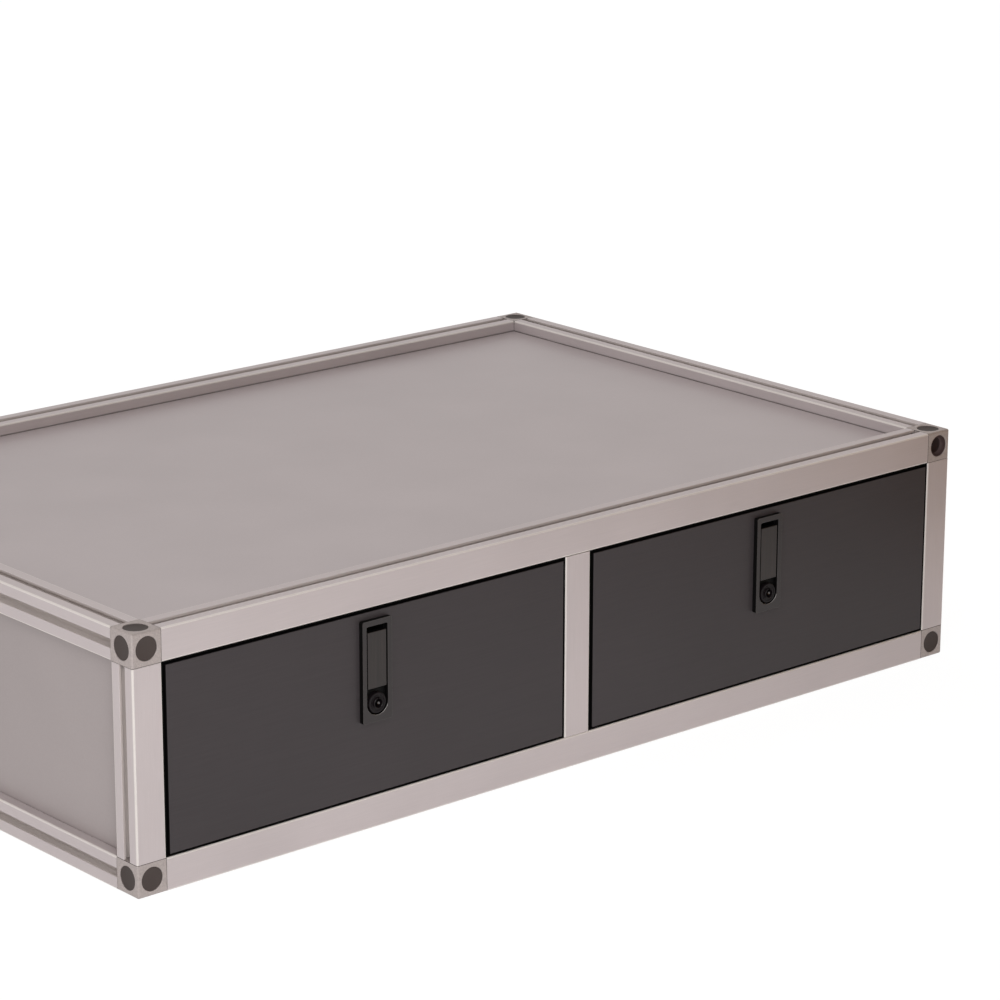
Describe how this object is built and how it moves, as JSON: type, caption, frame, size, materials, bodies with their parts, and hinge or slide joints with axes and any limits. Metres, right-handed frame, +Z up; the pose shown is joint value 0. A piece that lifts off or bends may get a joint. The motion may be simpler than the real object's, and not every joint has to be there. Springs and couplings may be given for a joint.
{
  "type": "drawer module",
  "caption": "Low framed cabinet of slotted aluminium profile with a recessed top panel and side-by-side drawers, each with a flush locking latch.",
  "frame": {"origin": "on the floor, at the centre of the bounding box's footprint", "axes": "+Z up, drawers face -Y and open towards -Y, +X to the right seen from the front"},
  "size_m": [0.99, 0.656, 0.234],
  "materials": {
    "aluminium": "clear anodised, satin",
    "cast_corner": "bead-blasted casting",
    "cap_plastic": "moulded, matt",
    "panel": "compact laminate, matt grey",
    "drawer_front": "compact laminate, charcoal with a fine horizontal grain",
    "tray": "folded sheet, powder-coated charcoal",
    "slide_steel": "zinc plated",
    "latch": "die-cast, satin black",
    "lock": "black nickel"
  },
  "bodies": {
    "cabinet": {"front_top_rail": "aluminium", "front_bottom_rail": "aluminium", "back_top_rail": "aluminium", "back_bottom_rail": "aluminium", "left_top_rail": "aluminium", "left_bottom_rail": "aluminium", "right_top_rail": "aluminium", "right_bottom_rail": "aluminium", "front_left_post": "aluminium", "front_right_post": "aluminium", "back_left_post": "aluminium", "back_right_post": "aluminium", "front_mullion": "aluminium", "back_mullion": "aluminium", "front_left_top_corner": "cast_corner", "front_right_top_corner": "cast_corner", "front_left_bottom_corner": "cast_corner", "front_right_bottom_corner": "cast_corner", "back_left_top_corner": "cast_corner", "back_right_top_corner": "cast_corner", "back_left_bottom_corner": "cast_corner", "back_right_bottom_corner": "cast_corner", "front_cap_left_top": "cap_plastic", "front_cap_right_top": "cap_plastic", "front_cap_left_bottom": "cap_plastic", "front_cap_right_bottom": "cap_plastic", "top_cap_front_left": "cap_plastic", "top_cap_front_right": "cap_plastic", "top_cap_back_left": "cap_plastic", "top_cap_back_right": "cap_plastic", "top_panel": "panel", "floor_panel": "panel", "left_side_panel": "panel", "right_side_panel": "panel", "back_left_panel": "panel", "back_right_panel": "panel", "left_drawer_left_slide_outer": "slide_steel", "left_drawer_right_slide_outer": "slide_steel", "right_drawer_left_slide_outer": "slide_steel", "right_drawer_right_slide_outer": "slide_steel"},
    "left_middle_slides": {"left_drawer_left_slide_middle": "slide_steel", "left_drawer_right_slide_middle": "slide_steel"},
    "right_middle_slides": {"right_drawer_left_slide_middle": "slide_steel", "right_drawer_right_slide_middle": "slide_steel"},
    "left_drawer": {"left_drawer_front": "drawer_front", "left_drawer_tray": "tray", "left_latch_housing": "latch", "left_drawer_left_slide_inner": "slide_steel", "left_drawer_right_slide_inner": "slide_steel"},
    "right_drawer": {"right_drawer_front": "drawer_front", "right_drawer_tray": "tray", "right_latch_housing": "latch", "right_drawer_left_slide_inner": "slide_steel", "right_drawer_right_slide_inner": "slide_steel"},
    "left_lever": {"left_latch_lever": "latch"},
    "right_lever": {"right_latch_lever": "latch"},
    "left_key": {"left_key_lock": "lock"},
    "right_key": {"right_key_lock": "lock"},
    "left_bolt": {"left_lock_bolt": "slide_steel"},
    "right_bolt": {"right_lock_bolt": "slide_steel"}
  },
  "joints": [
    {"name": "left_drawer_slide", "type": "slide", "parent": "cabinet", "child": "left_drawer", "axis": [0, -1, 0], "range_m": [0, 0.6]},
    {"name": "right_drawer_slide", "type": "slide", "parent": "cabinet", "child": "right_drawer", "axis": [0, -1, 0], "range_m": [0, 0.6]},
    {"name": "left_middle_slide", "type": "slide", "parent": "cabinet", "child": "left_middle_slides", "axis": [0, -1, 0], "range_m": [0, 0.3]},
    {"name": "right_middle_slide", "type": "slide", "parent": "cabinet", "child": "right_middle_slides", "axis": [0, -1, 0], "range_m": [0, 0.3]},
    {"name": "left_lever_hinge", "type": "hinge", "parent": "left_drawer", "child": "left_lever", "pos_m": [-0.24, -0.3254, 0.1336], "axis": [1, 0, 0], "range_deg": [0, 45], "stiffness_Nm_per_rad": 0.05, "springref_deg": -17.19},
    {"name": "right_lever_hinge", "type": "hinge", "parent": "right_drawer", "child": "right_lever", "pos_m": [0.24, -0.3254, 0.1336], "axis": [1, 0, 0], "range_deg": [0, 45], "stiffness_Nm_per_rad": 0.05, "springref_deg": -17.19},
    {"name": "left_key_turn", "type": "hinge", "parent": "left_drawer", "child": "left_key", "pos_m": [-0.24, -0.328, 0.118], "axis": [0, 1, 0], "range_deg": [0, 90]},
    {"name": "right_key_turn", "type": "hinge", "parent": "right_drawer", "child": "right_key", "pos_m": [0.24, -0.328, 0.118], "axis": [0, 1, 0], "range_deg": [0, 90]},
    {"name": "left_bolt_slide", "type": "slide", "parent": "left_drawer", "child": "left_bolt", "axis": [0, 0, 1], "range_m": [0, 0.0095]},
    {"name": "right_bolt_slide", "type": "slide", "parent": "right_drawer", "child": "right_bolt", "axis": [0, 0, 1], "range_m": [0, 0.0095]}
  ],
  "couplings": [
    {"joint": "left_middle_slide", "follows": "left_drawer_slide", "ratio": 0.5},
    {"joint": "right_middle_slide", "follows": "right_drawer_slide", "ratio": 0.5},
    {"joint": "left_bolt_slide", "follows": "left_key_turn", "m_per_rad": 0.006},
    {"joint": "right_bolt_slide", "follows": "right_key_turn", "m_per_rad": 0.006}
  ]
}
